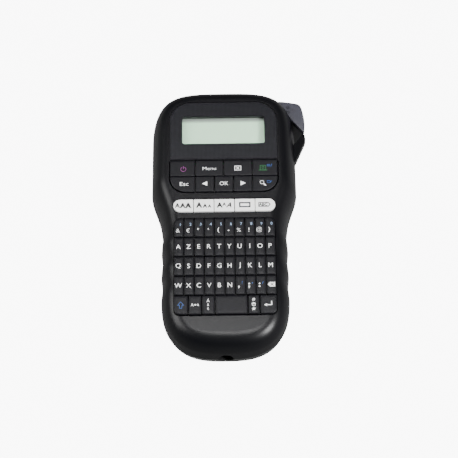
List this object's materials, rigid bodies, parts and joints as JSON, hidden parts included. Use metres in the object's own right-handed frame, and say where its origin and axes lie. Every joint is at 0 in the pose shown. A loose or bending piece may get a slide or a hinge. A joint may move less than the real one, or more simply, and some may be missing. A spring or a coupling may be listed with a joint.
{
  "type": "handheld label maker",
  "caption": "Hand-held label maker with a keyboard, a small display, a tape cassette bay with print and cutter mechanism, a battery bay and a thumb lever.",
  "frame": {"origin": "on the flat back, on the casing's centre line, at the middle of its length", "axes": "+X to the user's right, +Y to the display end, +Z out of the keyboard"},
  "size_m": [0.109, 0.2013, 0.0578],
  "materials": {
    "black_plastic": "satin moulded plastic, gently polished",
    "dark_plastic": "fine moulded grain",
    "grey_plastic": "fine moulded grain",
    "panel_print": "printed dot pattern under a clear coat",
    "clear_plastic": "clear window",
    "lcd": "grey-green reflective display",
    "key_rubber": "soft matt keys with printed legends",
    "white_rubber": "soft matt white keys",
    "mat_rubber": "plain moulded mat",
    "circuit_board": "solder mask",
    "cell_wrap": "shrink wrap",
    "steel": "plated sheet and wire",
    "nylon": "moulded gears",
    "brass": "turned",
    "platen_rubber": "ground rubber",
    "heat_sink": "machined",
    "label_tape": "laminated tape roll"
  },
  "bodies": {
    "housing": {"battery_1": "cell_wrap", "battery_2": "cell_wrap", "battery_3": "cell_wrap", "battery_4": "cell_wrap", "battery_5": "cell_wrap", "battery_6": "cell_wrap", "battery_flat_contacts": "steel", "battery_spring_contacts": "steel", "case_screw_1": "steel", "case_screw_2": "steel", "case_screw_3": "steel", "case_screw_4": "steel", "cutter_anvil": "steel", "dc_jack": "black_plastic", "display_lens": "clear_plastic", "display_panel": "panel_print", "front_case": "black_plastic", "keypad_mat": "mat_rubber", "lcd_glass": "lcd", "lever_spring": "steel", "main_board": "circuit_board", "mech_chassis": "steel", "motor": "steel", "print_head": "heat_sink", "rear_case": "dark_plastic", "tape_cassette": "dark_plastic"},
    "lever": {"cutter_lever": "grey_plastic", "cutter_blade": "steel"},
    "cover": {"rear_cover": "dark_plastic"},
    "reduction": {"reduction_gear": "nylon"},
    "pinion": {"motor_pinion": "brass"},
    "platen": {"platen_gear": "nylon", "platen_roller": "platen_rubber"},
    "takeup": {"takeup_spindle": "nylon"},
    "arm": {"roller_arm": "dark_plastic"},
    "roll": {"tape_roll": "label_tape"},
    "power_key_body": {"power_key": "key_rubber"},
    "menu_key_body": {"menu_key": "key_rubber"},
    "clear_key_body": {"clear_key": "key_rubber"},
    "print_key_body": {"print_key": "key_rubber"},
    "escape_key_body": {"escape_key": "key_rubber"},
    "left_key_body": {"left_key": "key_rubber"},
    "ok_key_body": {"ok_key": "key_rubber"},
    "right_key_body": {"right_key": "key_rubber"},
    "search_key_body": {"search_key": "key_rubber"},
    "font_key_body": {"font_key": "white_rubber"},
    "size_key_body": {"size_key": "white_rubber"},
    "style_key_body": {"style_key": "white_rubber"},
    "frame_key_body": {"frame_key": "white_rubber"},
    "layout_key_body": {"layout_key": "white_rubber"},
    "number_row_body": {"number_key_row": "key_rubber"},
    "upper_row_body": {"upper_letter_row": "key_rubber"},
    "middle_row_body": {"middle_letter_row": "key_rubber"},
    "lower_row_body": {"lower_letter_row": "key_rubber"},
    "shift_key_body": {"shift_key": "key_rubber"},
    "caps_key_body": {"caps_key": "key_rubber"},
    "accent_key_body": {"accent_key": "key_rubber"},
    "space_key_body": {"space_key": "key_rubber"},
    "symbol_key_body": {"symbol_key": "key_rubber"},
    "enter_key_body": {"enter_key": "key_rubber"}
  },
  "joints": [
    {"name": "cutter_lever_press", "type": "hinge", "parent": "housing", "child": "lever", "pos_m": [0.031, 0.0705, 0.0345], "axis": [0, 0, -1], "range_deg": [0, 16], "stiffness_Nm_per_rad": 0.3},
    {"name": "rear_cover_open", "type": "hinge", "parent": "housing", "child": "cover", "pos_m": [0, -0.0854, 0], "axis": [-1, 0, 0], "range_deg": [0, 75]},
    {"name": "reduction_gear_spin", "type": "hinge", "parent": "housing", "child": "reduction", "pos_m": [0.0205, 0.0623, 0.0273], "axis": [0, 0, 1], "continuous": true},
    {"name": "motor_pinion_spin", "type": "hinge", "parent": "housing", "child": "pinion", "pos_m": [0.0053, 0.0623, 0.0273], "axis": [0, 0, 1], "continuous": true},
    {"name": "roller_arm_release", "type": "hinge", "parent": "housing", "child": "arm", "pos_m": [0.036, 0.076, 0.012], "axis": [0, 0, -1], "range_deg": [0, 8], "stiffness_Nm_per_rad": 0.1},
    {"name": "platen_spin", "type": "hinge", "parent": "arm", "child": "platen", "pos_m": [0.0205, 0.0743, 0.012], "axis": [0, 0, 1], "continuous": true},
    {"name": "takeup_spin", "type": "hinge", "parent": "housing", "child": "takeup", "pos_m": [0.01667, 0.05178, 0.015], "axis": [0, 0, 1], "continuous": true},
    {"name": "tape_roll_spin", "type": "hinge", "parent": "housing", "child": "roll", "pos_m": [-0.018, 0.045, 0.01], "axis": [0, 0, 1], "continuous": true},
    {"name": "enter_key_press", "type": "slide", "parent": "housing", "child": "enter_key_body", "axis": [0, 0.0872, -0.9962], "range_m": [0, 0.001], "stiffness_N_per_m": 1500},
    {"name": "space_key_press", "type": "slide", "parent": "housing", "child": "space_key_body", "axis": [0, 0.0872, -0.9962], "range_m": [0, 0.001], "stiffness_N_per_m": 1500},
    {"name": "power_key_press", "type": "slide", "parent": "housing", "child": "power_key_body", "axis": [0, 0.0872, -0.9962], "range_m": [0, 0.001], "stiffness_N_per_m": 1500},
    {"name": "print_key_press", "type": "slide", "parent": "housing", "child": "print_key_body", "axis": [0, 0.0872, -0.9962], "range_m": [0, 0.001], "stiffness_N_per_m": 1500},
    {"name": "ok_key_press", "type": "slide", "parent": "housing", "child": "ok_key_body", "axis": [0, 0.0872, -0.9962], "range_m": [0, 0.001], "stiffness_N_per_m": 1500},
    {"name": "number_key_row_press", "type": "slide", "parent": "housing", "child": "number_row_body", "axis": [0, 0.0872, -0.9962], "range_m": [0, 0.001], "stiffness_N_per_m": 3000},
    {"name": "upper_letter_row_press", "type": "slide", "parent": "housing", "child": "upper_row_body", "axis": [0, 0.0872, -0.9962], "range_m": [0, 0.001], "stiffness_N_per_m": 3000},
    {"name": "middle_letter_row_press", "type": "slide", "parent": "housing", "child": "middle_row_body", "axis": [0, 0.0872, -0.9962], "range_m": [0, 0.001], "stiffness_N_per_m": 3000},
    {"name": "lower_letter_row_press", "type": "slide", "parent": "housing", "child": "lower_row_body", "axis": [0, 0.0872, -0.9962], "range_m": [0, 0.001], "stiffness_N_per_m": 3000},
    {"name": "font_key_press", "type": "slide", "parent": "housing", "child": "font_key_body", "axis": [0, 0.0872, -0.9962], "range_m": [0, 0.001], "stiffness_N_per_m": 1500},
    {"name": "menu_key_press", "type": "slide", "parent": "housing", "child": "menu_key_body", "axis": [0, 0.0872, -0.9962], "range_m": [0, 0.001], "stiffness_N_per_m": 1500},
    {"name": "clear_key_press", "type": "slide", "parent": "housing", "child": "clear_key_body", "axis": [0, 0.0872, -0.9962], "range_m": [0, 0.001], "stiffness_N_per_m": 1500},
    {"name": "escape_key_press", "type": "slide", "parent": "housing", "child": "escape_key_body", "axis": [0, 0.0872, -0.9962], "range_m": [0, 0.001], "stiffness_N_per_m": 1500},
    {"name": "left_key_press", "type": "slide", "parent": "housing", "child": "left_key_body", "axis": [0, 0.0872, -0.9962], "range_m": [0, 0.001], "stiffness_N_per_m": 1500},
    {"name": "right_key_press", "type": "slide", "parent": "housing", "child": "right_key_body", "axis": [0, 0.0872, -0.9962], "range_m": [0, 0.001], "stiffness_N_per_m": 1500},
    {"name": "search_key_press", "type": "slide", "parent": "housing", "child": "search_key_body", "axis": [0, 0.0872, -0.9962], "range_m": [0, 0.001], "stiffness_N_per_m": 1500},
    {"name": "size_key_press", "type": "slide", "parent": "housing", "child": "size_key_body", "axis": [0, 0.0872, -0.9962], "range_m": [0, 0.001], "stiffness_N_per_m": 1500},
    {"name": "style_key_press", "type": "slide", "parent": "housing", "child": "style_key_body", "axis": [0, 0.0872, -0.9962], "range_m": [0, 0.001], "stiffness_N_per_m": 1500},
    {"name": "frame_key_press", "type": "slide", "parent": "housing", "child": "frame_key_body", "axis": [0, 0.0872, -0.9962], "range_m": [0, 0.001], "stiffness_N_per_m": 1500},
    {"name": "layout_key_press", "type": "slide", "parent": "housing", "child": "layout_key_body", "axis": [0, 0.0872, -0.9962], "range_m": [0, 0.001], "stiffness_N_per_m": 1500},
    {"name": "shift_key_press", "type": "slide", "parent": "housing", "child": "shift_key_body", "axis": [0, 0.0872, -0.9962], "range_m": [0, 0.001], "stiffness_N_per_m": 1500},
    {"name": "caps_key_press", "type": "slide", "parent": "housing", "child": "caps_key_body", "axis": [0, 0.0872, -0.9962], "range_m": [0, 0.001], "stiffness_N_per_m": 1500},
    {"name": "accent_key_press", "type": "slide", "parent": "housing", "child": "accent_key_body", "axis": [0, 0.0872, -0.9962], "range_m": [0, 0.001], "stiffness_N_per_m": 1500},
    {"name": "symbol_key_press", "type": "slide", "parent": "housing", "child": "symbol_key_body", "axis": [0, 0.0872, -0.9962], "range_m": [0, 0.001], "stiffness_N_per_m": 1500}
  ],
  "couplings": [
    {"joint": "motor_pinion_spin", "follows": "reduction_gear_spin", "ratio": -2.1667},
    {"joint": "platen_spin", "follows": "reduction_gear_spin", "ratio": -0.66667},
    {"joint": "takeup_spin", "follows": "reduction_gear_spin", "ratio": -0.75}
  ]
}
